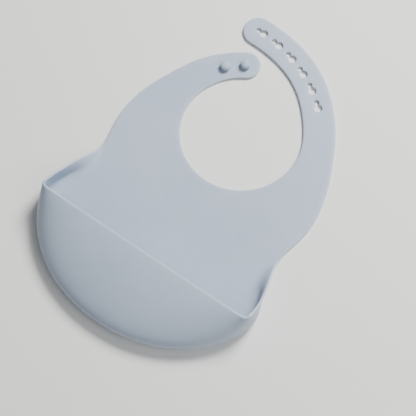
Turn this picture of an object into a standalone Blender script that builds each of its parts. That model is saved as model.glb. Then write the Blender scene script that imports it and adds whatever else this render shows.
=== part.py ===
"""A baby's silicone bib with a catch pocket, laid on its back.

X runs across the bib, Y from the pocket up to the neck straps, and Z out of the
table, towards the pocket side.  The origin is on the back of the chest panel.
Plan coordinates are given in millimetres from the centre of the neck hole.
The bib is one soft moulding: its nodes are the stretches between the lines
where it flexes, and each flexing line is a narrow gap between two round edges.
"""

import math

import bmesh
import bpy
import numpy as np
from mathutils.geometry import tessellate_polygon

# Driving dimensions: lengths in millimetres, angles in degrees
MM = 0.001
SHEET = 2.0
EDGE = SHEET / 2
GAP = 0.5
NECK_ABOVE_ORIGIN = 100.0
NECK_RADIUS = 51.2
FOLD_Y = -62.0

# Outer edge, from the waist up over the shoulder to the end of the long strap
WAIST = (88.0, -74.0)
SHOULDER = (93.5, -37.0)
STRAP_ROOT = (72.2, 31.1)
STRAP_BEND = (27.0, 82.7)
SHOULDER_EDGE = (
    (WAIST, (88.0, -61.7), (93.5, -49.8), SHOULDER),
    (SHOULDER, (93.5, -13.6), (82.9, 10.1), STRAP_ROOT),
)
HOLE_STRAP_OUTER = (
    (STRAP_ROOT, (61.8, 51.4), (46.2, 70.1), STRAP_BEND),
    (STRAP_BEND, (6.7, 96.0), (-18.0, 100.5), (-41.9, 100.5)),
)
HOLE_STRAP_INNER = (
    ((45.2, 24.0), (39.6, 34.6), (29.4, 47.2), (18.9, 55.6)),
    ((18.9, 55.6), (1.5, 69.6), (-20.3, 74.1), (-41.9, 74.1)),
)
HOLE_STRAP_TIP = (-41.9, 87.3)
HOLE_TIP_RADIUS = 13.2
NECK_LEAVES_AT = 28.0

# Short strap with the two studs
STUD_STRAP_OUTER = (((-72.2, 31.1), (-64.6, 44.6), (-53.0, 55.3), (-40.1, 64.2)),)
STUD_STRAP_TIP = (-32.5, 54.5)
STUD_TIP_RADIUS = 12.3
STUD_TIP_STARTS_AT = 128.0
STUDS = ((-45.6, 42.6), (-32.5, 53.4))

# Lines across the straps where they flex
ROOT_LINE_ANGLE = 8.0
EDGE_STARTS_BEFORE_LINE = 8.0
ROOT_PIVOT_RADIUS = 67.0
STUD_LINE_ANGLE = 156.0
STUD_PIVOT_RADIUS = 63.0
STRAP_ARC_CENTRE = (-41.9, -31.3)
STRAP_ARC_RADIUS = 119.3
FIRST_KEYHOLE = 1.6
KEYHOLE_PITCH = 17.0
KEYHOLES = 6
MIDDLE_LINE_AFTER = 6
END_LINE_AFTER = 3

# Figure-of-eight keyhole and mushroom stud
KEYHOLE_WIDE = 3.45
KEYHOLE_SNUG = 2.3
KEYHOLE_CENTRES = 5.7
KEYHOLE_NECK = 1.25
KEYHOLE_EDGE = 0.4
STUD_SOCKET = 2.3
STUD_PLUG = 2.0
SOCKET_CORNERS = 16
STUD_CLEARANCE = 0.3
STUD_FLARE = ((3.1, 0.0), (2.6, 0.25))
STUD_FLARE_HEIGHT = 0.7
HEAD_STARTS = 1.7
HEAD_UNDERCUT = 0.3
HEAD_RIM = (2.0, 2.5)
STUD_STEM = 2.3
STUD_HEAD = 4.4
STUD_HEIGHT = 5.6

# Catch pocket: widest outline, and the rim from the waist to the middle of the front
POCKET_TOP = (102.2, -130.0)
POCKET_SIDE = (WAIST, (88.0, -90.0), (102.5, -110.0), POCKET_TOP)
POCKET_BOTTOM = (POCKET_TOP, (102.2, -155.1), (67.5, -201.9), (0.0, -201.9))
RIM_SIDE = ((88.0, -74.0, 0.0), (89.5, -90.0, 3.0), (98.2, -110.0, 17.0), (98.8, -130.0, 26.6))
RIM_Y = -138.6
RIM_HEIGHT = 30.0
RIM_CORNER = (94.6, -134.6)
RIM_CORNER_RADIUS = 4.0
RIM_CORNER_HEIGHT = 29.2
CORNER_STRAIGHT = 0.4
CORNER_END = 0.2
WIDEST_SHARE = 0.3
FOOT_AT_WAIST = 8.0
FOOT_AT_CORNER = 14.0
WALL_RISE = 0.4
WALL_REACH = 0.45
WALL_CROWN = 0.12
SIDE_WALL_STARTS = 0.032
SIDE_WALL_ENDS_X = 96.0
BEND_ROOM = 0.25
FINE_STEPS = 80

BLUE_GREY = (0.50, 0.55, 0.60, 1.0)
MATTE = 0.55


def bezier(segment, steps):
    """Points along one cubic Bezier segment, both ends included."""
    start, leave, arrive, end = (np.array(point, float) for point in segment)
    t = np.linspace(0.0, 1.0, steps + 1)[:, None]
    u = 1.0 - t
    return u**3 * start + 3 * u**2 * t * leave + 3 * u * t**2 * arrive + t**3 * end


def bezier_at(segment, t):
    """One point of a cubic Bezier segment."""
    start, leave, arrive, end = (np.array(point, float) for point in segment)
    u = 1.0 - t
    return u**3 * start + 3 * u**2 * t * leave + 3 * u * t**2 * arrive + t**3 * end


def chain(segments, steps):
    """Points along Bezier segments laid end to end, without doubled joints."""
    runs = [bezier(segment, steps) for segment in segments]
    return np.vstack([runs[0]] + [run[1:] for run in runs[1:]])


def arc(centre, radius, start, end, steps):
    """Points on a circular arc, with its angles in degrees."""
    angle = np.radians(np.linspace(start, end, steps + 1))
    return np.array(centre) + radius * np.column_stack([np.cos(angle), np.sin(angle)])


def direction(angle):
    """The unit vector at an angle in degrees."""
    return np.array([math.cos(math.radians(angle)), math.sin(math.radians(angle))])


def clip(points, across, through, least):
    """The run of an open line that lies at least so far past a straight cut."""
    height = (points - np.array(through)) @ np.array(across) - least
    kept = []
    for here, there, low, high in zip(points[:-1], points[1:], height[:-1], height[1:]):
        if low >= 0.0:
            kept.append(here)
        if low * high < 0.0:
            kept.append(here + (there - here) * low / (low - high))
    if height[-1] >= 0.0:
        kept.append(points[-1])
    return np.array(kept)


def mirrored(points):
    """The same line on the other side of the bib."""
    return points * np.array([-1.0] + [1.0] * (points.shape[1] - 1))


def inset(loop, distance):
    """A closed counter-clockwise loop moved inwards, with mitred corners."""
    back = loop - np.roll(loop, 1, axis=0)
    ahead = np.roll(loop, -1, axis=0) - loop
    back /= np.linalg.norm(back, axis=1)[:, None]
    ahead /= np.linalg.norm(ahead, axis=1)[:, None]
    normal = np.column_stack([-(back + ahead)[:, 1], (back + ahead)[:, 0]])
    normal /= np.linalg.norm(normal, axis=1)[:, None]
    cosine = normal[:, 1] * ahead[:, 0] - normal[:, 0] * ahead[:, 1]
    return loop + normal * (distance / np.maximum(cosine, 0.6))[:, None]


def material(name):
    """The satin blue-grey silicone."""
    made = bpy.data.materials.new(name)
    made.use_nodes = True
    surface = made.node_tree.nodes["Principled BSDF"]
    surface.inputs["Base Color"].default_value = BLUE_GREY
    surface.inputs["Roughness"].default_value = MATTE
    surface.inputs["Metallic"].default_value = 0.0
    return made


def place(name, mesh_data, origin, parent=None):
    """Wraps a bmesh drawn in neck-hole millimetres as an object with this origin."""
    shift = np.array([0.0, NECK_ABOVE_ORIGIN, 0.0])
    for vert in mesh_data.verts:
        vert.co = (np.array(vert.co) - np.array(origin)) * MM
    bmesh.ops.recalc_face_normals(mesh_data, faces=mesh_data.faces)
    mesh = bpy.data.meshes.new(name)
    mesh_data.to_mesh(mesh)
    mesh_data.free()
    mesh.shade_smooth()
    mesh.set_sharp_from_angle(angle=math.radians(40.0))
    mesh.materials.append(material(name + "_silicone"))
    made = bpy.data.objects.new(name, mesh)
    made.location = (np.array(origin) + shift) * MM
    if parent:
        made.parent = parent
        while parent:
            made.location = np.array(made.location) - np.array(parent.location)
            parent = parent.parent
    bpy.context.scene.collection.objects.link(made)
    return made


def round_edge(radius, thickness, steps):
    """(inset, height) pairs that round both edges of a plate."""
    quarter = np.linspace(0.0, math.pi / 2, steps + 1)
    lower = [(radius * (1 - math.sin(a)), radius * (1 - math.cos(a))) for a in quarter]
    upper = [(step_in, thickness - height) for step_in, height in reversed(lower)]
    return lower + (upper[1:] if 2 * radius >= thickness else upper)


def add_rim(mesh_data, loop, profile, sign):
    """The rounded edge round a loop; returns its lowest and highest rings."""
    rings = []
    for step_in, height in profile:
        ring = inset(loop, sign * step_in)
        rings.append([mesh_data.verts.new((x, y, height)) for x, y in ring])
    for low, high in zip(rings[:-1], rings[1:]):
        for i in range(len(loop)):
            j = (i + 1) % len(loop)
            mesh_data.faces.new((low[i], low[j], high[j], high[i]))
    return rings[0], rings[-1]


def plate(name, outline, holes, origin, parent=None):
    """A flat stretch of the sheet, with full-round edges and rounded holes."""
    mesh_data = bmesh.new()
    caps = [add_rim(mesh_data, outline, round_edge(EDGE, SHEET, 2), 1.0)]
    for hole in holes:
        caps.append(add_rim(mesh_data, hole, round_edge(KEYHOLE_EDGE, SHEET, 1), -1.0))
    for level in (0, 1):
        rings = [pair[level] for pair in caps]
        flat = [vert for ring in rings for vert in ring]
        for corners in tessellate_polygon([[vert.co for vert in ring] for ring in rings]):
            mesh_data.faces.new([flat[i] for i in corners])
    return place(name, mesh_data, origin, parent)


def keyhole(station):
    """The outline of one keyhole, its wide end nearer the strap's root."""
    angle = FIRST_KEYHOLE + math.degrees(KEYHOLE_PITCH / STRAP_ARC_RADIUS) * station
    outward = direction(90.0 - angle)
    to_tip = np.array([-outward[1], outward[0]])
    middle = np.array(STRAP_ARC_CENTRE) + STRAP_ARC_RADIUS * outward
    wide_centre = middle - to_tip * KEYHOLE_CENTRES / 3
    snug_centre = wide_centre + to_tip * KEYHOLE_CENTRES
    heading = math.degrees(math.atan2(to_tip[1], to_tip[0]))
    wide = math.degrees(math.asin(KEYHOLE_NECK / KEYHOLE_WIDE))
    snug = math.degrees(math.asin(KEYHOLE_NECK / KEYHOLE_SNUG))
    around_wide = arc(wide_centre, KEYHOLE_WIDE, heading + wide, heading + 360.0 - wide, 12)
    around_snug = arc(snug_centre, KEYHOLE_SNUG, heading - 180.0 + snug, heading + 180.0 - snug, 8)
    return np.vstack([around_wide, around_snug])


def strap_line(after_keyholes):
    """The point and the direction towards the tip, where the strap flexes."""
    angle = FIRST_KEYHOLE + math.degrees(KEYHOLE_PITCH / STRAP_ARC_RADIUS) * (after_keyholes - 0.5)
    outward = direction(90.0 - angle)
    point = np.array(STRAP_ARC_CENTRE) + STRAP_ARC_RADIUS * outward
    return point, np.array([-outward[1], outward[0]])


def between(line, first, second):
    """The run of a strap's edge that lies between two flexing lines."""
    if first is not None:
        line = clip(line, first[1], first[0], GAP / 2)
    if second is not None:
        line = clip(line, -second[1], second[0], GAP / 2)
    return line


def strap_piece(outer, inner, first, second, tip=None):
    """A closed outline from a strap's two edges, and its round end if it has one."""
    runs = [between(outer, first, second)]
    if tip is not None:
        runs.append(tip)
    runs.append(between(inner, first, second)[::-1])
    return np.vstack(runs)


def counter_clockwise(loop):
    """The loop turned round if it runs clockwise."""
    ahead = np.roll(loop, -1, axis=0)
    area = (loop[:, 0] * ahead[:, 1] - loop[:, 1] * ahead[:, 0]).sum()
    return loop if area > 0 else loop[::-1]


def hinge_origin(point):
    """A joint axis lies at half the sheet's thickness."""
    return (point[0], point[1], SHEET / 2)


def build_straps_and_yoke(panel):
    """The yoke round the neck hole, the two straps, and the studs."""
    centre = np.zeros(2)
    shoulder = chain(SHOULDER_EDGE, 12)
    right_root = (centre, np.array([-1.0, 1.0]) * direction(ROOT_LINE_ANGLE)[::-1])
    left_root = (centre, direction(ROOT_LINE_ANGLE)[::-1])
    above_fold = (np.array([0.0, FOLD_Y]), np.array([0.0, 1.0]))

    side = between(shoulder, above_fold, right_root)
    shy = math.degrees(GAP / 2 / NECK_RADIUS)
    neck = arc(centre, NECK_RADIUS, ROOT_LINE_ANGLE - shy, -180.0 - ROOT_LINE_ANGLE + shy, 44)
    yoke = np.vstack([side, neck, mirrored(side)[::-1]])
    fold_origin = hinge_origin((0.0, FOLD_Y))
    yoke_object = plate("yoke", counter_clockwise(yoke), [], fold_origin, panel)

    outer = np.vstack([shoulder, chain(HOLE_STRAP_OUTER, 12)[1:]])
    inner = np.vstack([
        arc(centre, NECK_RADIUS, ROOT_LINE_ANGLE - EDGE_STARTS_BEFORE_LINE, NECK_LEAVES_AT, 6),
        chain(HOLE_STRAP_INNER, 10)[1:],
    ])
    tip = arc(HOLE_STRAP_TIP, HOLE_TIP_RADIUS, 90.0, 270.0, 14)[1:-1]
    middle_line = strap_line(MIDDLE_LINE_AFTER)
    end_line = strap_line(END_LINE_AFTER)
    lines = (right_root, middle_line, end_line, None)
    names = ("hole_strap_root", "hole_strap_middle", "hole_strap_end")
    origins = (ROOT_PIVOT_RADIUS * direction(ROOT_LINE_ANGLE), middle_line[0], end_line[0])
    keyholes = ([], range(END_LINE_AFTER, KEYHOLES), range(END_LINE_AFTER))
    carrier = yoke_object
    for i, name in enumerate(names):
        end = tip if name == "hole_strap_end" else None
        outline = strap_piece(outer, inner, lines[i], lines[i + 1], end)
        holes = [counter_clockwise(keyhole(station)) for station in keyholes[i]]
        carrier = plate(name, counter_clockwise(outline), holes, hinge_origin(origins[i]), carrier)

    outer = np.vstack([mirrored(shoulder), chain(STUD_STRAP_OUTER, 10)[1:]])
    meeting = math.degrees(math.atan2(STUD_STRAP_TIP[1], STUD_STRAP_TIP[0]))
    inner = arc(centre, NECK_RADIUS, 180.0 - ROOT_LINE_ANGLE + EDGE_STARTS_BEFORE_LINE, meeting, 14)
    tip = arc(STUD_STRAP_TIP, STUD_TIP_RADIUS, STUD_TIP_STARTS_AT, meeting - 180.0, 16)[1:-1]
    stud_line = (centre, np.array([1.0, -1.0]) * direction(STUD_LINE_ANGLE)[::-1])
    outline = strap_piece(outer, inner, left_root, stud_line)
    origin = hinge_origin(ROOT_PIVOT_RADIUS * direction(180.0 - ROOT_LINE_ANGLE))
    root = plate("stud_strap_root", counter_clockwise(outline), [], origin, yoke_object)
    outline = strap_piece(outer, inner, stud_line, None, tip)
    last = 360.0 - 360.0 / SOCKET_CORNERS
    sockets = [arc(stud, STUD_SOCKET, 0.0, last, SOCKET_CORNERS - 1) for stud in STUDS]
    origin = hinge_origin(STUD_PIVOT_RADIUS * direction(STUD_LINE_ANGLE))
    strap = plate("stud_strap_end", counter_clockwise(outline), sockets, origin, root)
    for name, stud in zip(("inner_stud", "outer_stud"), STUDS):
        build_stud(name, stud, strap)


def build_stud(name, centre, strap):
    """A mushroom stud: plug through the strap, flared foot, stem and domed head."""
    face = SHEET + STUD_CLEARANCE
    profile = [(0.0, 0.0), (STUD_PLUG, 0.0), (STUD_PLUG, face)]
    profile += [(radius, face + up) for radius, up in STUD_FLARE]
    profile += [(STUD_STEM, face + STUD_FLARE_HEIGHT), (STUD_STEM, face + HEAD_STARTS)]
    profile.append((STUD_HEAD - HEAD_UNDERCUT, face + HEAD_RIM[0]))
    rim = face + HEAD_RIM[1]
    dome = SHEET + STUD_HEIGHT - rim
    for angle in np.radians(np.linspace(0.0, 90.0, 7)):
        profile.append((STUD_HEAD * math.cos(angle), rim + dome * math.sin(angle)))
    profile[-1] = (0.0, profile[-1][1])
    mesh_data = bmesh.new()
    verts = [mesh_data.verts.new((r + centre[0], centre[1], z)) for r, z in profile]
    edges = [mesh_data.edges.new(pair) for pair in zip(verts[:-1], verts[1:])]
    pivot = (centre[0], centre[1], 0.0)
    bmesh.ops.spin(
        mesh_data, geom=verts + edges, cent=pivot, axis=(0, 0, 1), angle=math.tau, steps=24
    )
    bmesh.ops.remove_doubles(mesh_data, verts=mesh_data.verts, dist=0.001)
    place(name, mesh_data, (centre[0], centre[1], 0.0), strap)


def rim_corner(share):
    """A point of the rim between the side's end and the start of the straight front."""
    side_end = np.array(RIM_SIDE[3])
    arc_start = np.array([RIM_CORNER[0] + RIM_CORNER_RADIUS, RIM_CORNER[1], RIM_CORNER_HEIGHT])
    if share < CORNER_STRAIGHT:
        return side_end + (arc_start - side_end) * share / CORNER_STRAIGHT
    turn = (share - CORNER_STRAIGHT) / (1.0 - CORNER_STRAIGHT)
    plan = np.array(RIM_CORNER) + RIM_CORNER_RADIUS * direction(-90.0 * turn)
    return np.append(plan, RIM_CORNER_HEIGHT + (RIM_HEIGHT - RIM_CORNER_HEIGHT) * turn)


def station(place_round):
    """The widest point, its outward direction and the rim point at a place round one half.

    The place runs from 0 at the waist, past 1 at the pocket's top, to 2 at its middle.
    """
    if place_round <= 1.0:
        segment, t = POCKET_SIDE, place_round
        rim = bezier_at(RIM_SIDE, t)
    else:
        segment, t = POCKET_BOTTOM, place_round - 1.0
        rim_x = RIM_CORNER[0] * bezier_at(segment, t)[0] / bezier_at(segment, CORNER_END)[0]
        rim = np.array([rim_x, RIM_Y, RIM_HEIGHT])
        if t < CORNER_END:
            rim = rim_corner(t / CORNER_END)
    ahead = bezier_at(segment, t + 0.001) - bezier_at(segment, t - 0.001)
    return bezier_at(segment, t), unit(np.array([-ahead[1], ahead[0]])), rim


def foot_width(rim_height):
    """How far inside the widest outline the wall starts to turn up."""
    return FOOT_AT_WAIST + (FOOT_AT_CORNER - FOOT_AT_WAIST) * rim_height / RIM_HEIGHT


def fillet(widest, outward, rim):
    """The outer surface from the flat back out to the widest point."""
    turn = np.linspace(0.0, math.pi / 2, FINE_STEPS)[:, None]
    reach = widest - outward * foot_width(rim[2]) * (1.0 - np.sin(turn))
    return np.hstack([reach, WIDEST_SHARE * rim[2] * (1.0 - np.cos(turn))])


def wall(widest, outward, rim):
    """The outer surface from the widest point up and over to the rim."""
    level = WIDEST_SHARE * rim[2]
    edge = np.append(widest, level)
    above = np.append(widest, level + WALL_RISE * (rim[2] - level))
    over = rim + (edge - rim) * WALL_REACH
    over[2] = rim[2] - WALL_CROWN * (rim[2] - level)
    return bezier((edge, above, over, rim), FINE_STEPS)


def whole_rib(widest, outward, rim):
    """The outer surface from the flat back to the rim."""
    return np.vstack([fillet(widest, outward, rim), wall(widest, outward, rim)[1:]])


def resample(line, count, first, last):
    """Points and headings at equal steps along a line, leaving out a length at each end."""
    step = np.linalg.norm(np.diff(line, axis=0), axis=1)
    along = np.concatenate([[0.0], np.cumsum(step)])
    wanted = np.linspace(first, along[-1] - last, count)
    heading = unit(np.gradient(line, along, axis=0))
    return np.array([
        [np.interp(wanted, along, values[:, i]) for i in range(3)] for values in (line, heading)
    ]).transpose(0, 2, 1)


def unit(vectors):
    """Vectors scaled to length one."""
    return vectors / np.linalg.norm(vectors, axis=-1, keepdims=True)


def shell_patch(name, ribs_and_headings, origin, parent=None):
    """A stretch of the curved wall, as thick as the sheet and round on all its edges."""
    ribs, up = ribs_and_headings[:, 0], ribs_and_headings[:, 1]
    inward = unit(np.cross(np.gradient(ribs, axis=0, edge_order=2), up))
    middle = ribs + inward * EDGE
    rows, columns = ribs.shape[:2]
    mesh_data = bmesh.new()
    skins = []
    for side in (-EDGE, EDGE):
        verts = [[mesh_data.verts.new(point) for point in row] for row in middle + side * inward]
        for i in range(rows - 1):
            for j in range(columns - 1):
                corners = (verts[i][j], verts[i + 1][j], verts[i + 1][j + 1], verts[i][j + 1])
                mesh_data.faces.new(corners)
        skins.append(verts)
    border = [(i, 0) for i in range(rows)] + [(rows - 1, j) for j in range(1, columns)]
    border += [(i, columns - 1) for i in range(rows - 2, -1, -1)]
    border += [(0, j) for j in range(columns - 2, 0, -1)]
    centre = np.array([middle[place] for place in border])
    across = np.array([inward[place] for place in border])
    ahead = unit(np.roll(centre, -1, axis=0) - centre)
    outward = unit(np.cross(ahead + np.roll(ahead, 1, axis=0), across))
    rings = [[skins[0][i][j] for i, j in border]]
    for angle in (-math.pi / 4, 0.0, math.pi / 4):
        ring = centre + EDGE * (math.sin(angle) * across + math.cos(angle) * outward)
        rings.append([mesh_data.verts.new(point) for point in ring])
    rings.append([skins[1][i][j] for i, j in border])
    for low, high in zip(rings[:-1], rings[1:]):
        for i in range(len(border)):
            j = (i + 1) % len(border)
            mesh_data.faces.new((low[i], low[j], high[j], high[i]))
    return place(name, mesh_data, origin, parent)


def place_at_x(wanted):
    """The place round the pocket's lower outline where it is so wide, by halving."""
    low, high = 1.0, 2.0
    for _ in range(40):
        middle = (low + high) / 2
        if station(middle)[0][0] > wanted:
            low = middle
        else:
            high = middle
    return low


def build_panel():
    """The flat chest panel inside the pocket's foot, up to the fold below the neck."""
    down = bezier(SHOULDER_EDGE[0], 12)
    strip = clip(down, (0.0, -1.0), (0.0, FOLD_Y), GAP / 2)
    foot = []
    for place_round in np.linspace(0.0, 2.0, 37):
        widest, outward, rim = station(place_round)
        foot.append(widest - outward * (foot_width(rim[2]) + GAP / 2))
    foot[-1][0] = 0.0
    right = np.vstack([strip[::-1], np.array(foot)])
    outline = np.vstack([right, mirrored(right)[-2::-1]])
    return plate("chest_panel", counter_clockwise(outline), [], (0.0, -NECK_ABOVE_ORIGIN, 0.0))


def build_pocket(panel):
    """The two side walls, the rounded base and the front of the catch pocket."""
    inset_edge = EDGE + GAP / 2
    split = place_at_x(SIDE_WALL_ENDS_X)
    marks = np.concatenate([
        np.linspace(SIDE_WALL_STARTS, 1.0, 13),
        np.linspace(1.0, 1.0 + CORNER_END, 9)[1:],
        [split],
    ])
    right = [whole_rib(*station(mark)) for mark in marks]
    ribs = np.array([resample(rib, 15, inset_edge, EDGE) for rib in right])
    shell_patch("right_side_wall", ribs, (88.0, -110.0, 0.0), panel)
    shell_patch("left_side_wall", mirrored_ribs(ribs), (-88.0, -110.0, 0.0), panel)

    marks = np.linspace(place_at_x(SIDE_WALL_ENDS_X - 2 * inset_edge), 2.0, 17)
    turned = inset_edge + BEND_ROOM
    low = [resample(fillet(*station(mark)), 7, inset_edge, turned) for mark in marks]
    high = [resample(wall(*station(mark)), 10, turned, EDGE) for mark in marks]
    shell_patch("pocket_base", both_halves(low), (0.0, -190.0, 0.0), panel)
    axis = (0.0, POCKET_BOTTOM[3][1] + EDGE, WIDEST_SHARE * RIM_HEIGHT)
    shell_patch("pocket_front", both_halves(high), axis, panel)


def mirrored_ribs(ribs):
    """The ribs of the other side, in an order that keeps their faces inward."""
    return ribs[::-1] * np.array([-1.0, 1.0, 1.0])


def both_halves(ribs):
    """Ribs of the right half and their mirror images, with the middle one once."""
    half = np.array(ribs)
    half[-1, :, :, 0] = 0.0
    return np.concatenate([half, mirrored_ribs(half)[1:]])


def main():
    """Clears the scene and builds the bib."""
    for old in list(bpy.data.objects):
        bpy.data.objects.remove(old, do_unlink=True)
    panel = build_panel()
    build_pocket(panel)
    build_straps_and_yoke(panel)


main()
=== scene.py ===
"""A baby's silicone bib with a catch pocket, dressed as one seamless moulding.

The bib lies flat on its back.  Every wall is drawn as the surface half way
through it and then grown to its thickness with rounded edges.  Plan sizes are
in millimetres from the centre of the neck hole: X across the bib, Y towards
the straps, Z up out of the pocket.
"""

import logging
import math
from dataclasses import dataclass, field
from enum import Enum

import bmesh
import bpy
import numpy as np
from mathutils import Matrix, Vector
from mathutils.geometry import delaunay_2d_cdt


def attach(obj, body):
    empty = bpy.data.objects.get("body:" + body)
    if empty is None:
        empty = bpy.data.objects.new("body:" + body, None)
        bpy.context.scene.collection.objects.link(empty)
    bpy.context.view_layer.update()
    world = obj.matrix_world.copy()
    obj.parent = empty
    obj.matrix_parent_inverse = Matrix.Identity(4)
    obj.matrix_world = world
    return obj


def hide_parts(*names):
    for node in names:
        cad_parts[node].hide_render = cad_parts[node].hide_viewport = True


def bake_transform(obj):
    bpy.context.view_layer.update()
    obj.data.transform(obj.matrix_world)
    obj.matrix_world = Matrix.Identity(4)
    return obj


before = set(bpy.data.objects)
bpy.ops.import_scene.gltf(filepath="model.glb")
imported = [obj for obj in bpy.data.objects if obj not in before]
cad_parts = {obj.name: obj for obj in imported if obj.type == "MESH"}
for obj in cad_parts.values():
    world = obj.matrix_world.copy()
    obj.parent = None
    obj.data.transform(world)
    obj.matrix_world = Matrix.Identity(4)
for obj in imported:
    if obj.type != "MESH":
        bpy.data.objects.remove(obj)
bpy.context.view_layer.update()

log = logging.getLogger("bib")

Point = tuple[float, ...]
Segment = tuple[Point, Point, Point, Point]

MM = 0.001
NECK_ABOVE_ORIGIN = 100.0
SHEET = 2.0
HALF = SHEET / 2
# How far the mould's parting line stands proud, and the round at a keyhole's edge.
PARTING_RIDGE = 0.1
EASED_RADIUS = 0.4
# The highest that the soft sheet rides up off the table.
LIFT = 0.9
# How much of an edge the faces next to it are.
BESIDE_EDGE = 0.35
# The handle of a Bezier quarter turn, as a share of its radius.
QUARTER = 0.5523
CURVE_STEPS = 80
# How far on either side of a place its heading is taken.
NEARBY = 0.001
CUT_SPACING = 2.0
SHARP_FROM = 45.0
REST = "rest_place"
EDGE = "edge_share"


class Side(Enum):
    """Which half of the bib a line belongs to, as the sign of its X."""

    STUDS = -1.0
    KEYHOLES = 1.0


class Section(Enum):
    """The cross-section of an edge, named by its look."""

    ROUND = "full round with the faint line where the mould halves meet"
    EASED = "straight wall with a small round at each face"

    def steps(self) -> list[tuple[float, float]]:
        """The section's outward and upward steps, without the two on the faces.

        Returns:
            The steps in millimetres, from the top face down to the bottom face.
        """
        if self is Section.ROUND:
            turns = np.radians(np.linspace(90.0, -90.0, 11))[1:-1]
            points = [(HALF * math.cos(a), HALF * math.sin(a)) for a in turns]
            points[len(points) // 2] = (HALF + PARTING_RIDGE, 0.0)
            return points
        turns = np.radians(np.linspace(90.0, 0.0, 5))[1:]
        flat = HALF - EASED_RADIUS
        upper = [(EASED_RADIUS * math.cos(a), flat + EASED_RADIUS * math.sin(a)) for a in turns]
        return upper + [(out, -up) for out, up in reversed(upper)]


# --- Lines -------------------------------------------------------------------


def unit(vectors: np.ndarray) -> np.ndarray:
    """Vectors scaled to length one."""
    return vectors / np.maximum(np.linalg.norm(vectors, axis=-1, keepdims=True), 1e-12)


def direction(angle: float) -> np.ndarray:
    """The plan vector of length one at an angle in degrees."""
    return np.array([math.cos(math.radians(angle)), math.sin(math.radians(angle))])


def bezier_at(segment: Segment, t: float | np.ndarray) -> np.ndarray:
    """One or more points of a cubic Bezier segment.

    Args:
        segment: The start, the two handles and the end.
        t: The share of the way, from 0 to 1, or a column of such shares.

    Returns:
        The point, or one row per share.
    """
    start, leave, arrive, end = (np.array(point, float) for point in segment)
    u = 1.0 - t
    return u**3 * start + 3 * u**2 * t * leave + 3 * u * t**2 * arrive + t**3 * end


def bezier(segment: Segment, steps: int) -> np.ndarray:
    """Points along a whole cubic Bezier segment, both ends included."""
    return bezier_at(segment, np.linspace(0.0, 1.0, steps + 1)[:, None])


def eased(share: float) -> float:
    """A share from 0 to 1 that starts and stops smoothly."""
    return share * share * (3.0 - 2.0 * share)


def arc(
    centre: Point, radius: float, start: float, end: float, spacing: float = 0.5
) -> np.ndarray:
    """Points on a circular arc.

    Args:
        centre: The centre in plan.
        radius: The radius.
        start: The first angle in degrees.
        end: The last angle in degrees.
        spacing: About how far apart the points are.

    Returns:
        One row per point.
    """
    steps = max(6, round(radius * math.radians(abs(end - start)) / spacing))
    angle = np.radians(np.linspace(start, end, steps + 1))
    return np.array(centre) + radius * np.column_stack([np.cos(angle), np.sin(angle)])


def join(*runs: np.ndarray) -> np.ndarray:
    """Runs of points laid end to end, without the doubled points where they meet."""
    return np.vstack([runs[0]] + [run[1:] for run in runs[1:]])


def along(points: np.ndarray) -> np.ndarray:
    """The distance travelled at each point of a line."""
    return np.concatenate([[0.0], np.cumsum(np.linalg.norm(np.diff(points, axis=0), axis=1))])


def at_steps(points: np.ndarray, wanted: np.ndarray) -> np.ndarray:
    """Points of a line at the distances asked for."""
    travelled = along(points)
    return np.column_stack([np.interp(wanted, travelled, column) for column in points.T])


def evenly(points: np.ndarray, spacing: float) -> np.ndarray:
    """A line resampled at equal steps, with its two ends kept.

    Args:
        points: The line.
        spacing: About how far apart the new points are.

    Returns:
        One row per point.
    """
    length = along(points)[-1]
    return at_steps(points, np.linspace(0.0, length, max(2, round(length / spacing) + 1)))


@dataclass(frozen=True)
class Cut:
    """A straight line across the sheet, at which one piece ends and the next begins.

    Args:
        through: A point on the line.
        onward: The direction square to the line, towards the next piece.
    """

    through: Point
    onward: Point

    def past(self, points: np.ndarray) -> np.ndarray:
        """How far each point lies past the line."""
        return (points - np.array(self.through)) @ np.array(self.onward)

    def mirrored(self) -> "Cut":
        """The same cut on the other side of the bib."""
        return Cut((-self.through[0], self.through[1]), (-self.onward[0], self.onward[1]))


@dataclass
class Edge:
    """A free edge of the sheet, as the line half a thickness inside it.

    Args:
        points: The line of the middle of the wall, one row per point.
        outward: The direction out of the material at each point.
    """

    points: np.ndarray
    outward: np.ndarray

    @classmethod
    def inside(cls, outline: np.ndarray, material_on_left: bool) -> "Edge":
        """The edge that lies half a thickness inside an outline.

        Args:
            outline: The outermost line.
            material_on_left: Whether the sheet lies on the left of the line as it runs.

        Returns:
            The edge.
        """
        travelled = along(outline)
        ahead = unit(np.gradient(outline, travelled, axis=0, edge_order=2))
        right = np.column_stack([ahead[:, 1], -ahead[:, 0]])
        outward = right if material_on_left else -right
        return cls(outline - HALF * outward, outward)

    def between(self, first: Cut | None, second: Cut | None, spacing: float) -> "Edge":
        """The stretch from one cut to another, at equal steps.

        Args:
            first: The cut at which it starts, if not at the line's own start.
            second: The cut at which it ends, if not at the line's own end.
            spacing: About how far apart the points are.

        Returns:
            The stretch, with both its ends exactly on the cuts.
        """
        travelled = along(self.points)
        start, end = 0.0, travelled[-1]
        if first is not None:
            start = crossing(travelled, first.past(self.points))
        if second is not None:
            end = crossing(travelled, second.past(self.points))
        wanted = np.linspace(start, end, max(2, round((end - start) / spacing) + 1))
        outward = np.column_stack([np.interp(wanted, travelled, v) for v in self.outward.T])
        return Edge(at_steps(self.points, wanted), unit(outward))

    def reversed(self) -> "Edge":
        """The same edge run the other way."""
        return Edge(self.points[::-1], self.outward[::-1])

    def mirrored(self) -> "Edge":
        """The same edge on the other side of the bib."""
        flip = np.array([-1.0, 1.0])
        return Edge(self.points * flip, self.outward * flip)


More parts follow.
